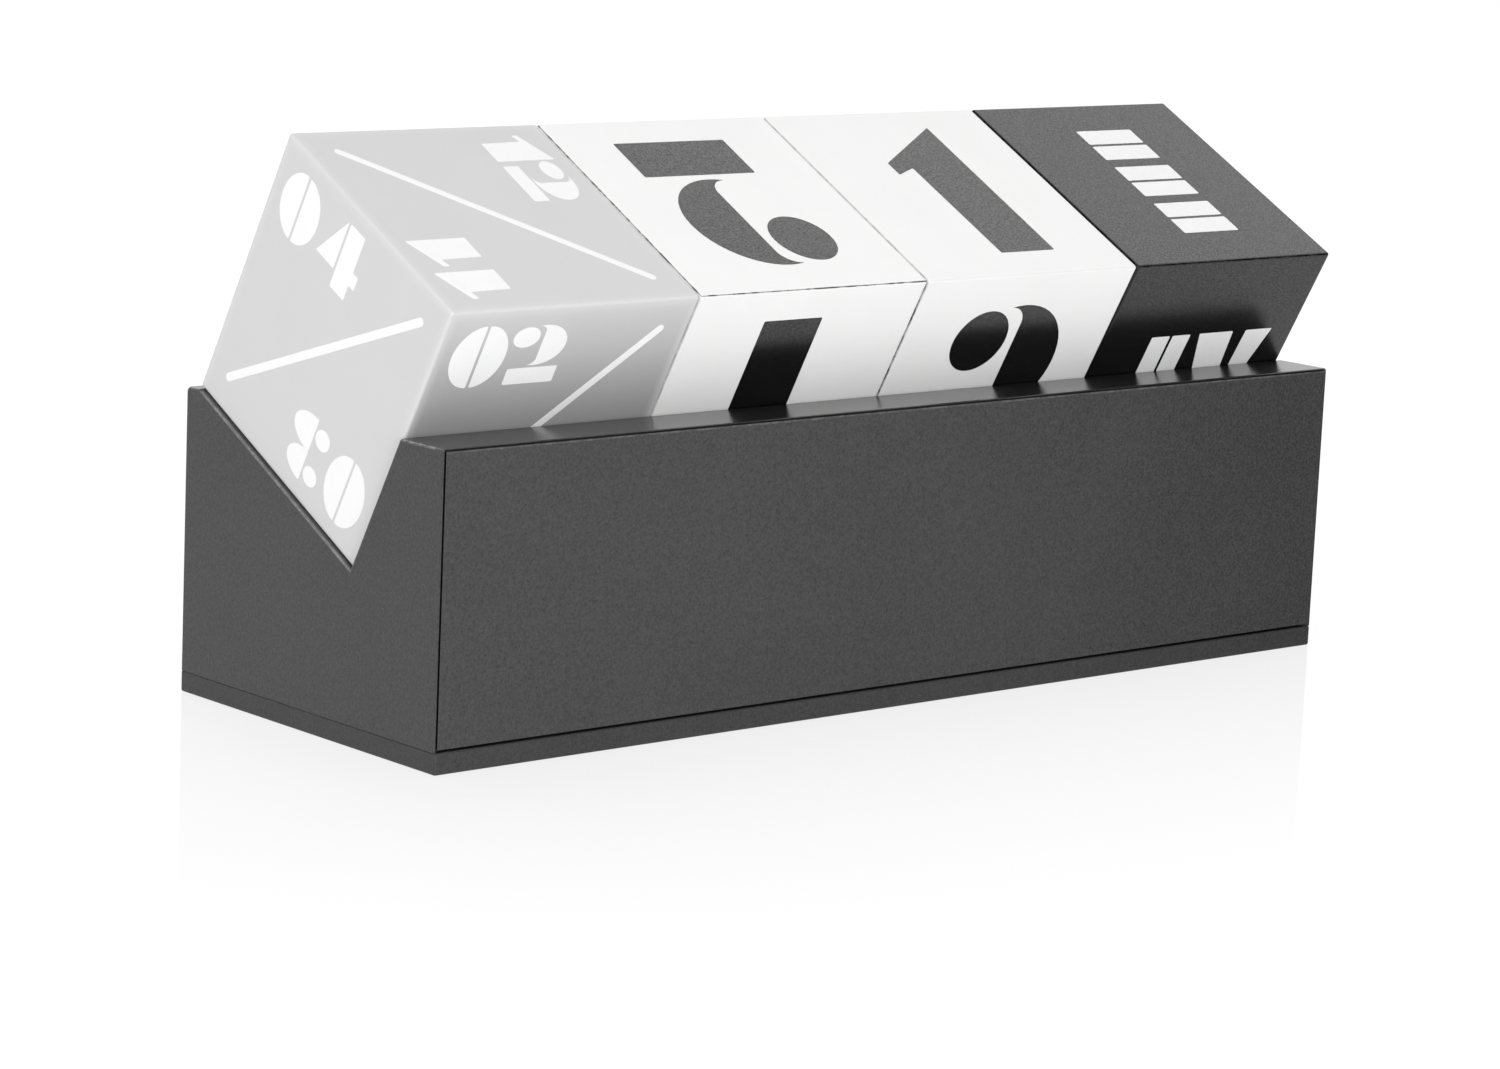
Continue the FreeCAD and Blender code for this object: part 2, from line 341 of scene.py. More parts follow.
def lacquer(name, tone):
    """Sprayed black lacquer. The tone is its grey; the base plate's darker tone is a painted shade.
    """
    paint = Finish(name)
    place = paint.place()
    x, y, z = paint.split(place)
    top = paint.near(z, HEIGHT, 0.5, 0.2)
    wear_and_highlight = wear_and_highlights(paint, place, top) * WEAR_AND_HIGHLIGHT
    pebbles = paint.noise(place, PEBBLE_SCALE, 3.0, 0.7)
    clouds = paint.noise(place, CLOUD_SCALE, 2.0)
    skin = (pebbles - 0.5) * (1 - top * TOP_FLATTER)
    along = x / HALF_LENGTH
    # Painted light and shade: the coat is made paler towards the left end and darker towards the
    # right.
    painted_falloff = along * -PAINTED_LIGHT_LEFT - paint.step(along, 0.1, 1.0) * PAINTED_SHADE_RIGHT
    shade = 1 + skin * PEBBLE_CONTRAST + (clouds - 0.5) * CLOUD_CONTRAST + painted_falloff
    colour = paint.blend(top, paint.shaded(tone, shade), grey(tone * TOP_TONE))
    sockets = {
        "Base Color": paint.blend(wear_and_highlight, colour, grey(tone * WEAR_AND_HIGHLIGHT_TONE)),
        "Roughness": 0.50 - top * TOP_SMOOTHER + skin * 0.15 + wear_and_highlight * 0.05,
        "Normal": paint.bump(pebbles * (1 - top * TOP_FLATTER), PEBBLE_DEPTH),
        "IOR": LACQUER_IOR,
        "Coat Weight": top * CLEAR_COAT,
        "Coat Roughness": CLEAR_COAT_ROUGHNESS,
    }
    return paint.surface(sockets)


panel_lacquer = lacquer("panel_lacquer", 0.035)
# The base plate gets a darker tone: a painted shade.
painted_shade_plate_lacquer = lacquer("painted_shade_plate_lacquer", 0.026)
print("made", panel_lacquer.name, painted_shade_plate_lacquer.name)

# %% [markdown]
# ## The boards inside
# The groove's flanks, the guides and the drawer's box are the same board with one thin coat. The
# coat soaks in, so the surface is duller and shows faint streaks from the saw and the brush. A
# streak is plain noise whose coordinates are squeezed along X.
# %% Mix the thin black coat
BOARD_TONE = 0.036
STREAK_STRETCH = (0.08, 0.9, 1.6)
board = Finish("board_coat")
board_place = board.place()
streaks = board.noise(board.stretch(board_place, STREAK_STRETCH), 1.0, 3.0, 0.6)
fibres = board.noise(board_place, 2.2, 2.0)
board_sockets = {
    "Base Color": board.shaded(BOARD_TONE, 0.8 + streaks * 0.25 + fibres * 0.15),
    "Roughness": 0.58 + (streaks - 0.5) * 0.2,
    "Normal": board.bump(fibres, 0.02),
}
board_coat = board.surface(board_sockets)
print("made", board_coat.name)

# %% [markdown]
# ## Steel
# The drawer's stop pins and its two screws are plain zinc-plated steel. Turning leaves fine rings,
# which here are short streaks in the roughness.
# %% Mix the steel
TURNED_STRETCH = (1.0, 1.0, 6.0)
metal = Finish("bright_steel")
turned = metal.noise(metal.stretch(metal.place(), TURNED_STRETCH), 1.5, 2.0)
steel_sockets = {
    "Base Color": metal.blend(turned, grey(0.52, 0.01), grey(0.62, 0.02)),
    "Metallic": 1.0,
    "Roughness": 0.22 + turned * 0.2,
    "Normal": metal.bump(turned, 0.004),
}
bright_steel = metal.surface(steel_sockets)
print("made", bright_steel.name)

# %% [markdown]
# ## Where a cube is dusty, and the painted shade between cubes
# Each cube is a moulded shell closed by a lid whose edges are mitred into it. Where a lid doesn't
# close tightly, dust collects in the mitre and draws a broken dark line along the cube's edges. In
# the lid's own coordinates, the mitre is where a point is as deep below the lid's face as it is in
# from the nearest side, so one subtraction finds it. Along the sides where two cubes touch, a
# painted shade darkens the gap between them and dims the highlight on their rounded edges, and dust
# breaks it up. The amounts below are how much of it each cube has on its left and on its right, and
# LID_TURN turns the coordinates to the face that the lid is on.
# %% Find the dust and the painted shade in the gaps
GAP_SHADE_AMOUNTS = {"month": (0, 0.2), "tens": (0.4, 1.0), "units": (1.0, 0.3), "weekday": (0.3, 0)}
LID_TURN = {"month": -90, "tens": 0, "units": 180, "weekday": 0}
SEAM_WIDTH = 0.13
SEAM_SPREAD = 0.10  # how much wider dust makes it
LESS_SHADE_ON_TOP = 0.55


def lid_seam(mix, which, dust):
    """The mitre between the shell and the lid, wider and darker where there is dust."""
    turned_place = mix.place(cube_middle(which), LEAN + math.radians(LID_TURN[which]))
    lid_x, lid_y, lid_z = mix.split(turned_place)
    inward = SIDE / 2 - mix.most(abs(lid_x), abs(lid_y))
    off_mitre = abs((SIDE / 2 - lid_z) - inward)
    mitre = mix.step(off_mitre / (SEAM_WIDTH + dust * SEAM_SPREAD), 1.0, 0.5)
    return mitre * (0.75 + dust * 0.25)


def gap_shade_sides(mix, which, place, dust):
    """Painted shade in the gaps along the left and right sides, with less of it on the top edge."""
    side, depth, height = mix.split(place)
    left_gap_shade, right_gap_shade = GAP_SHADE_AMOUNTS[which]
    # Painted shade in the gap where two cubes touch, which also dims the highlight on the rounded
    # edges.
    gap_shade = mix.near(-1 * side, SIDE / 2, 0.22, 0.05) * left_gap_shade
    gap_shade = gap_shade + mix.near(side, SIDE / 2, 0.22, 0.05) * right_gap_shade
    gap_shade = gap_shade * mix.near(mix.most(abs(depth), abs(height)), SIDE / 2, 2.5, 1.2)
    less_on_top = 1 - mix.near(height, SIDE / 2, 1.0, 0.3) * LESS_SHADE_ON_TOP
    return gap_shade * (0.4 + dust * 0.6) * less_on_top


print("lids turned by", LID_TURN)

# %% [markdown]
# ## Plastic cubes
# The plastic is satin, with a faint cloudiness. The grey one has paler edges, which is painted
# light, and a painted shade on its front that turns darker towards the black groove. On the rounded
# edges of the white and grey cubes a painted shade dims their highlight. The black one has a fine
# sparkling grain, as a thin clear coat that is thicker in some specks than in others. Noise is even
# on the planes of its own lattice, and with the wrong scale a cube's faces lie on such planes and
# show no specks. SPECK_SCALE times 25 mm isn't a whole number, so they don't.
# %% Mix the plastic
DUST_SCALE = 0.35
HAZE_SCALE = 0.06
HAZE_DARKER = 0.94
SPECK_SCALE = 3.37
SPECK_DEPTH = 0.007
# The painted shade on a cube's front, which makes it darker towards the groove:
PAINTED_SHADE_REACH = 24.0  # down the front, until it is as dark as it gets
PAINTED_SHADE_CURVE = 0.7
# How much of the painted shade on the rounded edges shows:
EDGE_SHADE_SHOWS = 0.6


def edge_masks(mix, place):
    """Two masks of a cube's edges: a wide soft one, and the narrow rounding itself."""
    parts = [abs(part) for part in mix.split(place)]
    masks = []
    for start in (2.2, 0.45):
        x, y, z = [mix.near(part, SIDE / 2, start, 0.1) for part in parts]
        masks.append(mix.most(x * y, y * z, x * z))
    return masks


def sparkle(mix, specks, coat, rough):
    """Sockets for a clear coat in specks, or none where there is no coat."""
    if not coat:
        return {}
    return {"Coat Weight": mix.step(specks, 0.35, 0.65) * coat, "Coat Roughness": rough}


def cube_plastic(which, colour, rough, dust_and_shade, glow, rounding, foot=0.0, ior=1.5, coat=0.0):
    """Satin plastic for one cube, as every cube has its own lid and its own dust.

    Dirt and glow are each a tone and a strength: the first for the dust and for the painted shade in
    the gaps, the second for the painted light on the paler edges. Rounding is the tone of the
    rounded edges, a painted shade that dims their highlight, and foot how dark the painted shade
    makes the front on its way down.
    """
    mix = Finish(which + "_plastic")
    place = mix.place(cube_middle(which), LEAN)
    dust = mix.step(mix.noise(place, DUST_SCALE, 4.0, 0.75), 0.40, 0.62)
    # The dark tone goes over the dust in the lid's mitre and over the painted shade in the gaps.
    dust_and_gap_shade = mix.most(lid_seam(mix, which, dust) * dust_and_shade[1], gap_shade_sides(mix, which, place, dust))
    side, depth, height = mix.split(place)
    front = mix.step(depth, -SIDE / 2 + 0.3, -SIDE / 2 + 0.05)
    darker = mix.least((SIDE / 2 - height) / PAINTED_SHADE_REACH, 1) ** PAINTED_SHADE_CURVE * front
    wide_edges, rounded_edges = edge_masks(mix, place)
    haze = mix.noise(place, HAZE_SCALE, 3.0)
    specks = mix.noise(place, SPECK_SCALE, 2.0)
    body = mix.blend(haze, colour, [c * HAZE_DARKER for c in colour[:3]] + [1])
    # Painted shade: the front is made darker towards the groove, as much as foot says.
    body = mix.blend(darker * foot, body, grey(0.0))
    # Painted light: the wide band along the edges is made paler, as much as glow says.
    body = mix.blend(wide_edges * glow[1], body, grey(glow[0]))
    # Painted shade on the rounded edges, which dims their highlight.
    body = mix.blend(rounded_edges * EDGE_SHADE_SHOWS, body, grey(rounding))
    sockets = {"Base Color": body, "Roughness": rough + (specks - 0.5) * 0.08, "IOR": ior}
    sockets["Normal"] = mix.bump(specks, SPECK_DEPTH)
    sockets.update(sparkle(mix, specks, coat, rough))
    return mix.surface(sockets, dust_and_gap_shade, grey(dust_and_shade[0]))


white = {"colour": grey(0.92, 0.002), "rough": 0.34, "glow": (0.92, 0.0), "rounding": 0.64}
light_grey = {"colour": grey(0.645), "rough": 0.38, "glow": (0.69, 0.5), "rounding": 0.61}
black = {"colour": grey(0.003), "rough": 0.25, "glow": (0.01, 0.0), "rounding": 0.004}
plastics = {
    "month": cube_plastic("month", dust_and_shade=(0.20, 0.4), foot=0.46, **light_grey),
    "tens": cube_plastic("tens", dust_and_shade=(0.06, 1.0), **white),
    "units": cube_plastic("units", dust_and_shade=(0.06, 0.6), **white),
    "weekday": cube_plastic("weekday", dust_and_shade=(0.001, 1.0), ior=1.36, coat=0.5, **black),
}
print("made", [plastic.name for plastic in plastics.values()])

# %% [markdown]
# ## Dress the frame
# A CAD node is never moved or reshaped here. It only gets its finish, by its name: cubes by the
# word that they start with, the pins and screws in steel, the boards that nobody polishes in the
# thin coat, the base plate in the darker lacquer, and every other panel in the plain one.
# %% Give each node its finish
NODE_FINISHES = {"base_plate": painted_shade_plate_lacquer}
for name in ("drawer_stop_pins", "drawer_front_screws"):
    NODE_FINISHES[name] = bright_steel
for name in ("front_flank", "rear_flank", "left_drawer_guide", "right_drawer_guide", "stop_rail"):
    NODE_FINISHES[name] = board_coat
for piece in ("inner_front", "left_side", "right_side", "back", "bottom"):
    NODE_FINISHES["drawer_" + piece] = board_coat
for cube, plastic in plastics.items():
    NODE_FINISHES[cube + "_cube_shell"] = plastic
    NODE_FINISHES[cube + "_cube_lid"] = plastic
for name, node in nodes.items():
    for index in range(len(node.data.materials)):
        node.data.materials[index] = NODE_FINISHES.get(name, panel_lacquer)
print("dressed", len(nodes), "nodes,", len(NODE_FINISHES), "of them by name")

# %% [markdown]
# ## Inks
# The numbers are printed with a solid ink. The dark ink is smooth and glossy, so its own black only
# shows where it mirrors something dark, and it has the same specks of clear coat as the black
# cube. The white ink is slightly dull and has thin patches.
# %% Mix the inks
SCREEN_SCALE = 3.0
COVER_SCALE = 0.25


def ink(name, tone, thin_tone, rough, ior=1.5, coat=0.0):
    """Printing ink. It has its thin tone where the screen laid down less of it."""
    mix = Finish(name)
    place = mix.place()
    screen = mix.noise(place, SCREEN_SCALE, 2.0)
    cover = mix.noise(place, COVER_SCALE, 2.0)
    thin = mix.step(cover * 0.3 + screen * 0.7, 0.35, 0.7)
    sockets = {
        "Base Color": mix.blend(thin, grey(tone), grey(thin_tone)),
        "Roughness": rough + (screen - 0.5) * 0.06,
        "Normal": mix.bump(screen, 0.004),
        "IOR": ior,
    }
    sockets.update(sparkle(mix, screen, coat, rough))
    return mix.surface(sockets)


dark_ink = ink("dark_ink", 0.002, 0.004, 0.21, 1.40, 0.6)
white_ink = ink("white_ink", 0.92, 0.89, 0.32)
print("made", dark_ink.name, white_ink.name)

# %% [markdown]
# ## Strokes of a stencil numeral
# Stencil numerals are cut from a few fat shapes with thin bridges between them: slabs, balls,
# half ovals and crescents. Each helper gives one closed outline as a list of points, in millimetres
# at the size of the large date numerals, with x to the right and y down from the top line.
# %% Cut the strokes
CAP = 38.0  # height of the large numerals
SLIT = 1.4  # width of a stencil bridge
ARC_STEPS = 28
CRESCENT_REACH = 104.0  # degrees, up and down from its middle
HOOK = 3.7  # how far a crescent's tips bend


def slab(left, top, right_end, bottom):
    return [(left, top), (right_end, top), (right_end, bottom), (left, bottom)]


def oval(cx, cy, rx, ry, start=0.0, end=360.0):
    """An oval, or the part of one between two angles, closed by its chord."""
    whole = end - start == 360.0
    steps = ARC_STEPS * 2 if whole else ARC_STEPS
    turns = [math.radians(start + (end - start) * i / steps) for i in range(steps + (not whole))]
    return [(cx + rx * math.cos(t), cy + ry * math.sin(t)) for t in turns]


def crescent(cx, cy, rx, ry, inner):
    """Bulges to the right. Its inner edge is upright at x = inner, with hooked tips."""
    outer = oval(cx, cy, rx, ry, -CRESCENT_REACH, CRESCENT_REACH)
    tip_x, low_y = outer[-1]
    high_y = outer[0][1]
    steps = ARC_STEPS // 2
    turns = [math.radians(90 * i / steps) for i in range(1, steps)]
    across = [tip_x + (inner - tip_x) * math.sin(t) for t in turns]
    low_tip = [(x, low_y - HOOK * (1 - math.cos(t))) for x, t in zip(across, turns)]
    high_tip = [(x, high_y + HOOK * (1 - math.cos(t))) for x, t in zip(across, turns)]
    return outer + low_tip + high_tip[::-1]


def flip_x(outline, about):
    return [(2 * about - x, y) for x, y in outline]


print("a crescent has", len(crescent(12.0, 19.0, 12.6, 12.5, 12.1)), "points")

# %% [markdown]
# ## The ten numerals
# Every numeral is a few of those strokes, kept with its width. The nine is the six turned by half a
# circle, as on every calendar of this kind, where one cube has to serve for both.
# %% Draw the numerals


def round_halves(cx, cy, rx, ry):
    """Two half ovals with a slit between them."""
    right_half = oval(cx + SLIT / 2, cy, rx, ry, -90, 90)
    return [right_half, flip_x(right_half, cx)]


def half_turn(outlines, width):
    return [[(width - x, CAP - y) for x, y in outline] for outline in outlines]


ONE = [[(17.4, 0), (0, 10.2), (0, 13.8), (4.5, 12.0), (4.9, CAP), (17.6, CAP)]]
TWO = [slab(0, 28.0, 24.2, CAP), oval(3.7, 8.7, 6.3, 6.3), crescent(11.5, 14.1, 12.7, 12.5, 12.1)]
THREE = [oval(10.6, 9.0, 11.8, 9.0, -90, 90), oval(10.6, 27.9, 14.0, 10.1, -90, 90)]
THREE += [oval(4.8, 7.4, 4.6, 5.2), oval(4.8, 30.4, 4.8, 5.6)]
FOUR_STEM = [(14.4, 0), (24.6, 0), (24.6, 20.8), (28.4, 20.8), (28.4, 28.6), (24.6, 28.6)]
FOUR_STEM += [(24.6, CAP), (14.4, CAP)]
FIVE = [slab(1.6, 0, 24.2, 9.6), slab(1.6, 9.6 + SLIT, 9.4, 20.4), oval(5.4, 31.6, 6.0, 6.0)]
FIVE += [crescent(11.5, 25.2, 12.7, 12.8, 12.2)]
SIX = [flip_x(oval(0, 19, 12.0, 19, -90, 90), 6.0), oval(12.0 + SLIT, 26.2, 12.4, 11.8, -90, 90)]
SIX += [oval(18.6, 6.4, 6.0, 6.0)]
SEVEN_WEDGE = [(11.4, 9.8 + SLIT), (24.2, 9.8 + SLIT), (19.6, CAP), (6.0, CAP)]
NUMERALS = {
    "0": (26.0, round_halves(13.0, 19.0, 12.3, 19.0)),
    "1": (17.6, ONE),
    "2": (24.2, TWO),
    "3": (24.6, THREE),
    "4": (28.4, [[(0, 28.6), (13.0, 0), (13.0, 28.6)], FOUR_STEM]),
    "5": (24.2, FIVE),
    "6": (25.8, SIX),
    "7": (24.2, [slab(0, 0, 24.2, 9.8), SEVEN_WEDGE]),
    "8": (25.4, round_halves(12.7, 8.6, 10.6, 8.6) + round_halves(12.7, 28.2, 12.0, 9.8)),
    "9": (25.8, half_turn(SIX, 25.8)),
}
print("numerals:", " ".join(NUMERALS))

# %% [markdown]
# ## Lay a print on a cube
# Each face of a cube has a frame of its own: across, down and outwards. A print is laid out on a
# flat face, turned about the face's middle, and only then placed in the room. One matrix does all
# of that, and it ends in metres.
# %% Find a face
FACES = {
    "top": (X_AXIS, -UP_FLANK),
    "front": (X_AXIS, -OFF_FLANK),
    "left": (-UP_FLANK, -OFF_FLANK),
    "right": (UP_FLANK, -OFF_FLANK),
    "rear": (-X_AXIS, -OFF_FLANK),
    "under": (-X_AXIS, -UP_FLANK),
}


def face_matrix(which, face, degrees=0.0):
    """From a flat layout about a face's middle, x across and y down, to the room in metres."""
    across, down = FACES[face]
    out = down.cross(across)
    to_face = Matrix.Translation(cube_middle(which) + out * SIDE / 2)
    axes = Matrix((across, down, out)).transposed().to_4x4()
    spin = Matrix.Rotation(math.radians(degrees), 4, "Z")
    return Matrix.Scale(MM, 4) @ to_face @ axes @ spin


print("faces:", ", ".join(FACES))

# %% [markdown]
# ## Plates of ink
# Ink could be drawn into the plastic's colour, but its outline would blur when seen close. Here
# each stroke is a real closed plate that stands a few hundredths of a millimetre proud of the
# plastic, so the numerals stay crisp from every side. Ink also rounds the corners of what it
# prints, so each sharp corner is cut by a short curve first.
# %% Make plates
INK_PROUD = 0.03
INK_SUNK = 0.05
CORNER_RADIUS = 0.3
BLUNT = math.radians(150)  # a corner wider than this is part of a curve


def soften(outline):
    """Rounds the sharp corners a little, as ink does."""
    made = []
    for i, corner in enumerate(outline):
        here = Vector(corner)
        before = Vector(outline[i - 1]) - here
        after = Vector(outline[(i + 1) % len(outline)]) - here
        if before.angle(after) > BLUNT:
            made.append(corner)
            continue
        cut = min(CORNER_RADIUS, before.length * 0.45, after.length * 0.45)
        start = here + before.normalized() * cut
        end = here + after.normalized() * cut
        for t in (0.0, 0.3, 0.7, 1.0):
            made.append(tuple(start * (1 - t) ** 2 + here * 2 * t * (1 - t) + end * t**2))
    return made


def add_plates(mesh, outlines, matrix):
    """One closed plate of ink for each outline."""
    for outline in outlines:
        soft = soften(outline)
        high = [mesh.verts.new(matrix @ Vector((x, y, INK_PROUD))) for x, y in soft]
        low = [mesh.verts.new(matrix @ Vector((x, y, -INK_SUNK))) for x, y in soft]
        mesh.faces.new(high)
        mesh.faces.new(low[::-1])
        for i in range(len(soft)):
            j = (i + 1) % len(soft)
            mesh.faces.new((high[j], high[i], low[i], low[j]))


print("plates are", round(INK_PROUD + INK_SUNK, 3), "mm thick")

# %% [markdown]
# ## From plates to a piece
# A print is one object, so that it can ride on its cube and keep one finish. Its large faces have
# dozens of corners and bends, so they are cut into triangles, which every exporter fills alike.
# %% Finish a print


def finish_print(name, mesh, which, finish):
    """Turns the plates into an object that rides on its cube."""
    bmesh.ops.recalc_face_normals(mesh, faces=mesh.faces)
    bmesh.ops.triangulate(mesh, faces=[face for face in mesh.faces if len(face.verts) > 4])
    data = bpy.data.meshes.new(name)
    mesh.to_mesh(data)
    mesh.free()
    piece = new_object(name, data)
    data.materials.append(finish)
    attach(piece, which + "_cube")
    print(name, "has", len(data.polygons), "faces")


def numeral_outlines(text, height, widen=1.0, gap=SLIT):
    """The outlines of some numerals, side by side, and the width that they take."""
    size = height / CAP
    placed = []
    at = 0.0
    for letter in text:
        width, outlines = NUMERALS[letter]
        for outline in outlines:
            placed.append([(at + x * size * widen, y * size) for x, y in outline])
        at += width * size * widen + gap
    return placed, at - gap


print("a large 4 is", round(numeral_outlines("4", CAP)[1], 1), "mm wide")

# %% [markdown]
# ## Numbers for the two date cubes
# One date cube carries 0 to 5, the other 0, 1, 2, 6, 7 and 8. Each numeral stands in the middle of
# its face, or a hair beside it, as prints do. Two of them are upside down on the faces that show,
# because the cubes are put back as the hand happens to turn them. Each entry is the numeral, its
# turn in degrees, and how far it sits off the middle, across and down.
# %% Print the date cubes
DATE_PRINTS = {
    "tens": {
        "top": ("2", 180, 1.1, -0.7),
        "front": ("1", 180, -0.1, -0.1),
        "left": ("3", 0, 0, 0),
        "right": ("4", 90, 0, 0),
        "rear": ("0", 0, 0, 0),
        "under": ("5", 180, 0, 0),
    },
    "units": {
        "top": ("1", 0, 1.1, -0.5),
        "front": ("2", 0, 2.0, -0.9),
        "left": ("0", 180, 0, 0),
        "right": ("7", 0, 0, 0),
        "rear": ("8", 0, 0, 0),
        "under": ("6", 90, 0, 0),
    },
}


def print_middle(mesh, matrix, outlines, width, height, across, down):
    """Sets outlines down with their middle at a point of a face."""
    corner = Matrix.Translation((across - width / 2, down - height / 2, 0))
    add_plates(mesh, outlines, matrix @ corner)


for cube, prints in DATE_PRINTS.items():
    mesh = bmesh.new()
    for face, (text, degrees, across, down) in prints.items():
        outlines, width = numeral_outlines(text, CAP)
        matrix = face_matrix(cube, face, degrees)
        print_middle(mesh, matrix, outlines, width, CAP, across, down)
    finish_print(cube + "_numerals", mesh, cube, dark_ink)

# %% [markdown]
# ## Numbers for the month cube
# Twelve months share six faces. A diagonal divides each face, and the two entries stand with their
# feet towards it, one of them turned by half a circle. The numerals are the same as on the date
# cubes, only smaller and a little wider. Each starts from the same corner of its half.
# %% Print the month cube
MONTH_HEIGHT = 11.8
MONTH_WIDEN = 1.33
MONTH_GAP = 1.5
MONTH_CORNER = (-21.8, -21.9)
MONTH_PRINTS = {
    "left": ("04", "03", 0),
    "top": ("12", "11", 90),
    "front": ("02", "01", 0),
    "right": ("09", "10", 0),
    "rear": ("05", "06", 0),
    "under": ("07", "08", 0),
}
corner = Matrix.Translation((*MONTH_CORNER, 0))
mesh = bmesh.new()
for face, (first, second, degrees) in MONTH_PRINTS.items():
    for text, half in ((first, 0), (second, 180)):
        outlines, width = numeral_outlines(text, MONTH_HEIGHT, MONTH_WIDEN, MONTH_GAP)
        add_plates(mesh, outlines, face_matrix("month", face, degrees + half) @ corner)
finish_print("month_numerals", mesh, "month", white_ink)

# %% [markdown]
# ## Roman numbers for the weekday cube
# The weekdays are numbered from I to VII in Roman numerals, so that nobody takes them for a date.
# Each I is two slim bars with a slit between them. A V is two leaning bars. Seven days have to
# share six faces, so the left face is divided like those of the month cube, and its two entries
# have bars about half as wide, so that the long VII stays on its side of the face.
# %% Draw the Roman numerals
ROMAN_BAR = 4.6
ROMAN_SLIT = 0.7
ROMAN_GAP = 2.4  # between letters
V_ARM = 1.9  # a V's left arm, at the top: this and the next five are in bars
V_LEAN = 1.15  # how far its left edge runs in on the way down
V_FOOT = 2.15  # where its right edge ends
V_OPEN = 0.6  # between the arms, at the top
V_WEDGE = 1.5  # the right arm, at the top
V_POINT = 0.5  # the right arm, at the foot
V_FOOT_WIDER = 0.9  # millimetres more at the left arm's foot, whatever the bar


def roman_one(at, bar, height):
    """The two upright bars of an I."""
    return [slab(start, 0, start + bar, height) for start in (at, at + bar + ROMAN_SLIT)]


def roman_five(at, bar, height):
    """The two leaning bars of a V: thick on the left, and a slimmer wedge on the right."""
    left_foot = at + bar * V_FOOT + V_FOOT_WIDER
    left = [(at, 0), (at + bar * V_ARM, 0), (left_foot, height), (at + bar * V_LEAN, height)]
    top = at + bar * V_ARM + ROMAN_SLIT + bar * V_OPEN
    low = left_foot + ROMAN_SLIT
    wedge = [(top, 0), (top + bar * V_WEDGE, 0), (low + bar * V_POINT, height), (low, height)]
    return [left, wedge]


def roman_outlines(text, height, bar):
    """The outlines of a Roman numeral and the width that it takes."""
    placed = []
    at = 0.0
    for letter in text:
        draw = roman_one if letter == "I" else roman_five
        placed += draw(at, bar, height)
        at = placed[-1][1][0] + ROMAN_GAP
    return placed, at - ROMAN_GAP


print("VII is", round(roman_outlines("VII", CAP / 2, ROMAN_BAR)[1], 1), "mm wide with full bars")

# %% [markdown]
# ## Print the weekdays
# Each entry is the numeral, its turn in degrees, how far its middle sits off the face's middle,
# its height and the width of its bars.
# %% Print the weekday cube
WEEKDAY_HEIGHT = 17.6
TOP_HEIGHT = 14.0
FULL_BAR_HEIGHT = 15.0  # a lower numeral has its bars made narrower with it
TOP_BAR = ROMAN_BAR * (TOP_HEIGHT / FULL_BAR_HEIGHT)
CORNER_BAR = 2.35
WEEKDAY_PRINTS = {
    "top": [("III", -90, 0.2, 1.6, TOP_HEIGHT, TOP_BAR)],
    "front": [("IV", 0, 3.2, 0.0, WEEKDAY_HEIGHT, ROMAN_BAR)],
    "right": [("V", 0, 0.0, 0.0, WEEKDAY_HEIGHT, ROMAN_BAR)],
    "rear": [("I", 0, 0.0, 0.0, WEEKDAY_HEIGHT, ROMAN_BAR)],
    "under": [("II", 0, 0.0, 0.0, WEEKDAY_HEIGHT, ROMAN_BAR)],
    "left": [
        ("VI", 0, -12.9, -16.0, MONTH_HEIGHT, CORNER_BAR),
        ("VII", 180, -9.0, -16.0, MONTH_HEIGHT, CORNER_BAR),
    ],
}
mesh = bmesh.new()
for face, entries in WEEKDAY_PRINTS.items():
    for text, degrees, across, down, height, bar in entries:
        outlines, width = roman_outlines(text, height, bar)
        matrix = face_matrix("weekday", face, degrees)
        print_middle(mesh, matrix, outlines, width, height, across, down)
finish_print("weekday_numerals", mesh, "weekday", white_ink)

# %% [markdown]
# ## Diagonal bars, by rule
# Every divided face has the same round-ended bar through its middle. A repeated shape is what
# Geometry Nodes are for: one bar is built from a length, a width and a thickness, and is set down
# on every point that it is given, turned as that point says. The bar is a rectangle with its
# corners rounded by almost half its width, filled, and pulled up into a plate. The pulled part has
# no underside, so a flipped copy of the fill closes it.
# %% Build the tree of bars
INPUTS = {
    "Places": "NodeSocketGeometry",
    "Length": "NodeSocketFloat",
    "Width": "NodeSocketFloat",
    "Thickness": "NodeSocketFloat",
    "Ink": "NodeSocketMaterial",
}
ALMOST_HALF = 0.499
END_STEPS = 8
SAME_POINT = 1e-6


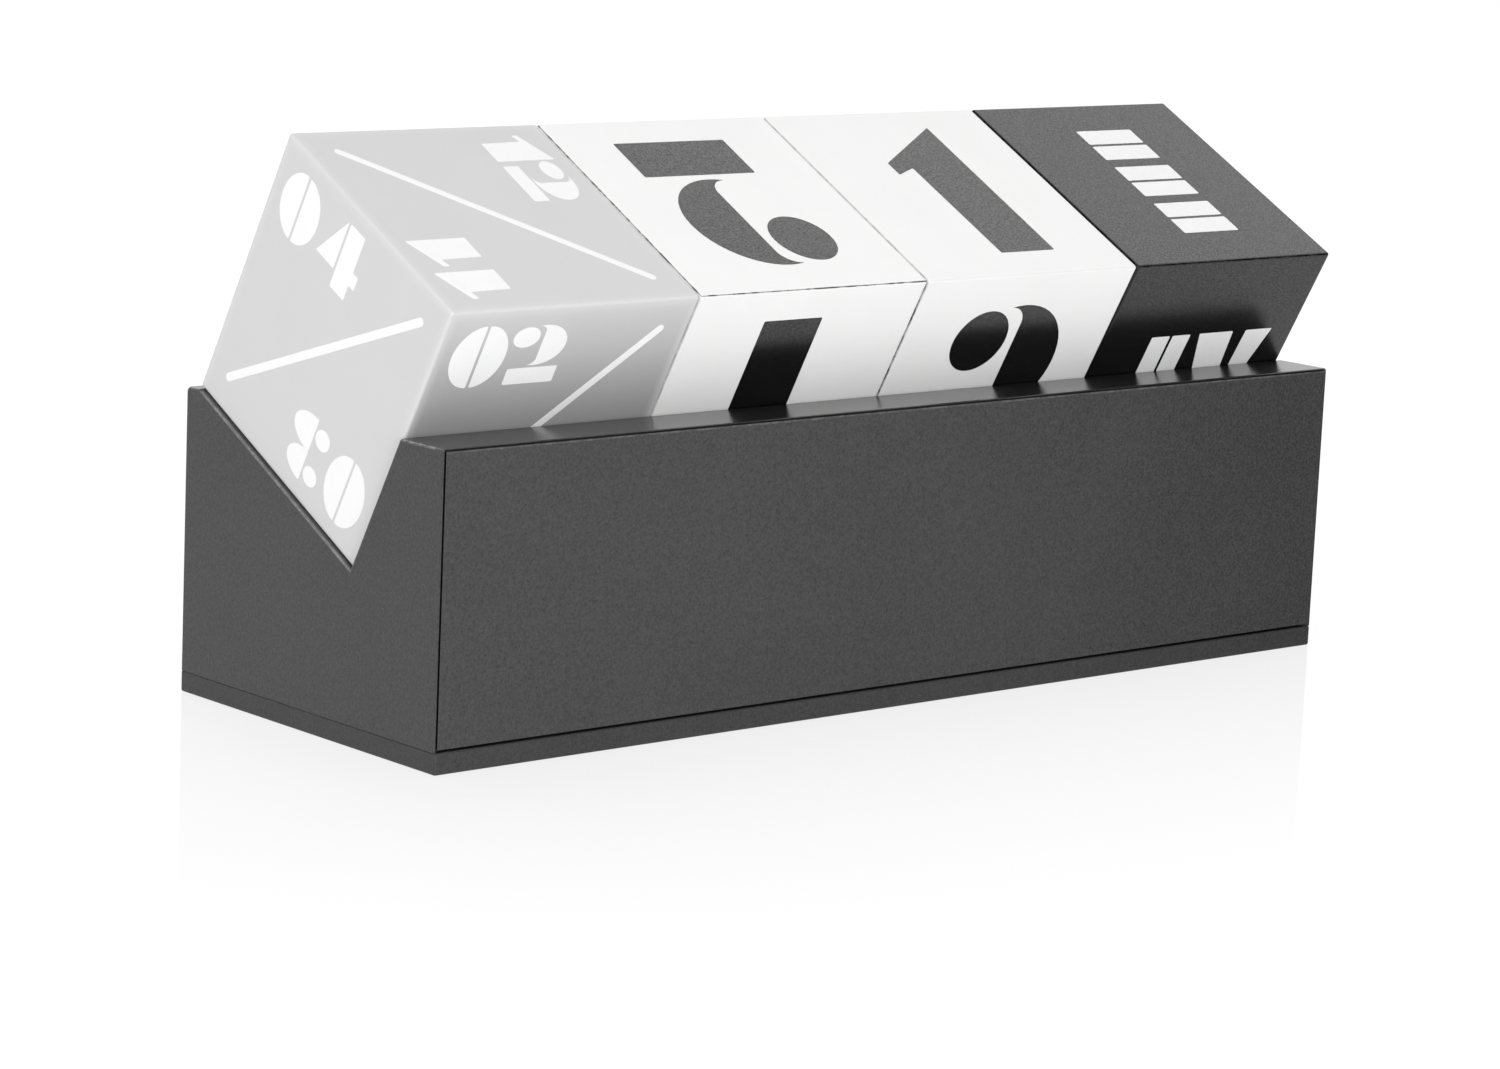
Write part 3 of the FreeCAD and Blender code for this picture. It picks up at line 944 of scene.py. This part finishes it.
def bar_tree():
    """A tree that sets a round-ended bar down on every point."""
    tree = bpy.data.node_groups.new("round_ended_bars", "GeometryNodeTree")
    for label, kind in INPUTS.items():
        tree.interface.new_socket(label, in_out="INPUT", socket_type=kind)
    tree.interface.new_socket("Bars", in_out="OUTPUT", socket_type="NodeSocketGeometry")

    def node(kind, links=None, settings=None):
        made = tree.nodes.new(kind)
        for key, value in (settings or {}).items():
            setattr(made, key, value)
        for key, value in (links or {}).items():
            if isinstance(value, bpy.types.NodeSocket):
                tree.links.new(value, made.inputs[key])
            else:
                made.inputs[key].default_value = value
        return made.outputs

    given = node("NodeGroupInput")
    sides = {"Width": given["Length"], "Height": given["Width"]}
    outline = node("GeometryNodeCurvePrimitiveQuadrilateral", sides)
    half = node("ShaderNodeMath", {0: given["Width"], 1: ALMOST_HALF}, {"operation": "MULTIPLY"})
    corners = {"Curve": outline[0], "Radius": half[0], "Limit Radius": True, "Count": END_STEPS}
    rounded = node("GeometryNodeFilletCurve", corners, {"mode": "POLY"})
    flat = node("GeometryNodeFillCurve", {"Curve": rounded[0]})
    pull = {"Mesh": flat[0], "Offset Scale": given["Thickness"], "Individual": False}
    wall = node("GeometryNodeExtrudeMesh", pull, {"mode": "FACES"})
    under = node("GeometryNodeFlipFaces", {"Mesh": flat[0]})
    both = tree.nodes.new("GeometryNodeJoinGeometry")
    tree.links.new(under[0], both.inputs[0])
    tree.links.new(wall["Mesh"], both.inputs[0])
    merged = {"Geometry": both.outputs[0], "Distance": SAME_POINT}
    bar = node("GeometryNodeMergeByDistance", merged)
    vector = {"data_type": "FLOAT_VECTOR"}
    facing = node("GeometryNodeInputNamedAttribute", {"Name": "facing"}, vector)
    spin = node("FunctionNodeEulerToRotation", {0: facing[0]})
    spread = {"Points": given["Places"], "Instance": bar[0], "Rotation": spin[0]}
    real = node("GeometryNodeRealizeInstances", {0: node("GeometryNodeInstanceOnPoints", spread)[0]})
    inked = node("GeometryNodeSetMaterial", {"Geometry": real[0], "Material": given["Ink"]})
    node("NodeGroupOutput", {0: inked[0]})
    return tree


round_bars = bar_tree()
print("tree", round_bars.name, "has", len(round_bars.nodes), "nodes")

# %% [markdown]
# ## Lay the diagonals
# The points that the tree needs are one vertex for each divided face, with the turn of that face
# kept as an attribute. The result is turned into a plain mesh, so that it can ride on its cube like
# any other print.
# %% Set the bars on the cubes
BAR_LENGTH = 55.4
BAR_WIDTH = 1.45
BAR_VALUES = {
    "Length": BAR_LENGTH * MM,
    "Width": BAR_WIDTH * MM,
    "Thickness": (INK_SUNK + INK_PROUD) * MM,
    "Ink": white_ink,
}


def lay_bars(name, which, faces):
    """Round-ended bars across the given faces of one cube, as a plain mesh."""
    data = bpy.data.meshes.new(name + "_places")
    frames = [face_matrix(which, face, degrees) for face, degrees in faces]
    data.from_pydata([tuple(matrix @ Vector((0, 0, -INK_SUNK))) for matrix in frames], [], [])
    facing = data.attributes.new("facing", "FLOAT_VECTOR", "POINT")
    for item, matrix in zip(facing.data, frames):
        across, down, out = (matrix.to_3x3().col[i].normalized() for i in range(3))
        item.vector = Matrix((across, -down, out)).transposed().to_euler()
    piece = new_object(name, data)
    modifier = piece.modifiers.new("bars", "NODES")
    modifier.node_group = round_bars
    for item in round_bars.interface.items_tree:
        if item.in_out == "INPUT" and item.name in BAR_VALUES:
            modifier[item.identifier] = BAR_VALUES[item.name]
    graph = bpy.context.evaluated_depsgraph_get()
    solid = bpy.data.meshes.new_from_object(piece.evaluated_get(graph), depsgraph=graph)
    piece.modifiers.remove(modifier)
    piece.data = solid
    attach(piece, which + "_cube")
    print(name, "has", len(faces), "bars,", len(solid.polygons), "faces")


month_faces = [(face, degrees - 45) for face, (first, second, degrees) in MONTH_PRINTS.items()]
lay_bars("month_diagonals", "month", month_faces)
lay_bars("weekday_diagonal", "weekday", [("left", -45)])

# %% [markdown]
# ## The table
# The calendar stands on a white glossy sheet, as in a small photo studio. The sheet shows a faint
# mirror image of the box that fades away from it, and a soft contact shadow. To the camera and in
# reflections it is nearly plain white: it glows, and a little of it can still be shaded. Other
# light falls on an ordinary pale surface, so the table doesn't light the box from below.
# %% Make the table
TABLE_RADIUS = 4.0
TABLE_SIDES = 64
FADE_REACH = 250.0
SHEET_GLOW = 0.88
SHEET_SHADED = 0.20
MIRROR_STRENGTH = 0.135
MIRROR_ROUGHNESS = 0.04


def plainly_seen(mix):
    """1 where the camera, a mirror or a pane looks at a surface, 0 for the light that it spreads."""
    kinds = ("Is Camera Ray", "Is Glossy Ray", "Is Transmission Ray")
    camera_ray, glossy, through = [mix.add("ShaderNodeLightPath", output=kind) for kind in kinds]
    return mix.least(camera_ray + glossy + through, 1)


def table_finish():
    """The white sheet, with its mirror image fading as it gets further from the box."""
    mix = Finish("white_table")
    place = mix.place()
    x, y, z = mix.split(place)
    off_x = mix.most(abs(x) - HALF_LENGTH, 0)
    off_y = mix.most(abs(y) - HALF_DEPTH, 0)
    away = (off_x * off_x + off_y * off_y) ** 0.5
    left_over = mix.most(1 - away / FADE_REACH, 0)
    waves = mix.noise(place, 0.02, 2.0)
    pale = {"Color": mix.blend(waves, grey(0.90), grey(0.94))}
    matt = mix.add("ShaderNodeBsdfDiffuse", None, pale)
    shaded = mix.add("ShaderNodeBsdfDiffuse", None, {"Color": grey(SHEET_SHADED)})
    glow = mix.add("ShaderNodeEmission", None, {"Color": grey(1.0), "Strength": SHEET_GLOW})
    seen = mix.add("ShaderNodeAddShader", None, {0: glow, 1: shaded})
    polish = {"Color": grey(1.0), "Roughness": MIRROR_ROUGHNESS}
    mirror = mix.add("ShaderNodeBsdfGlossy", None, polish)
    fade = left_over * left_over * MIRROR_STRENGTH
    seen = mix.add("ShaderNodeMixShader", None, {0: fade, 1: seen, 2: mirror})
    sheet = mix.add("ShaderNodeMixShader", None, {0: plainly_seen(mix), 1: matt, 2: seen})
    mix.add("ShaderNodeOutputMaterial", None, {"Surface": sheet})
    return mix.owner


disc = bmesh.new()
bmesh.ops.create_circle(disc, cap_ends=True, segments=TABLE_SIDES, radius=TABLE_RADIUS)
table_data = bpy.data.meshes.new("table_sheet")
disc.to_mesh(table_data)
disc.free()
table_data.materials.append(table_finish())
table_sheet = new_object("table_sheet", table_data)
print("table radius", TABLE_RADIUS, "m")

# %% [markdown]
# ## Light
# The light is a white tent: an even glow from all round, and four soft lamps outside it. The
# large one on the left makes the end of the box the lightest of its dark faces. A small one low in
# front opens the shade under the leaning fronts of the cubes. One high on the right is mirrored by
# the black tops, and one behind lights the back. A plain level matters. At it, a colour looks as
# it was mixed. Each lamp has its place and its diameter in metres and its power in watts, and
# looks at the origin.
# %% Light the scene
TENT_LEVEL = 0.58
LAMPS = {
    "window": ((-1.8, -0.35, 1.02), 1.2, 12.7),
    "fill": ((-0.40, -1.1, 0.10), 0.5, 8.3),
    "overhead": ((1.235, 0.513, 1.35), 1.05, 1.05),
    "rear": ((0.1, 1.6, 1.0), 1.2, 6.0),
}
world = bpy.data.worlds.new("tent")
bpy.context.scene.world = world
tent = Finish("tent", world)
strength = TENT_LEVEL + plainly_seen(tent) * (1.0 - TENT_LEVEL)
glow = tent.add("ShaderNodeBackground", None, {"Color": grey(1.0), "Strength": strength})
tent.add("ShaderNodeOutputWorld", None, {"Surface": glow})
for name, (place, diameter, power) in LAMPS.items():
    data = bpy.data.lights.new(name, "AREA")
    data.shape = "DISK"
    data.size = diameter
    data.energy = power
    lamp = new_object(name, data)
    lamp.location = place
    lamp.rotation_euler = (-Vector(place)).to_track_quat("-Z", "Y").to_euler()
    lamp.visible_camera = False
bpy.context.scene.view_settings.view_transform = "Standard"
print("tent level", TENT_LEVEL, "lamps:", ", ".join(LAMPS))
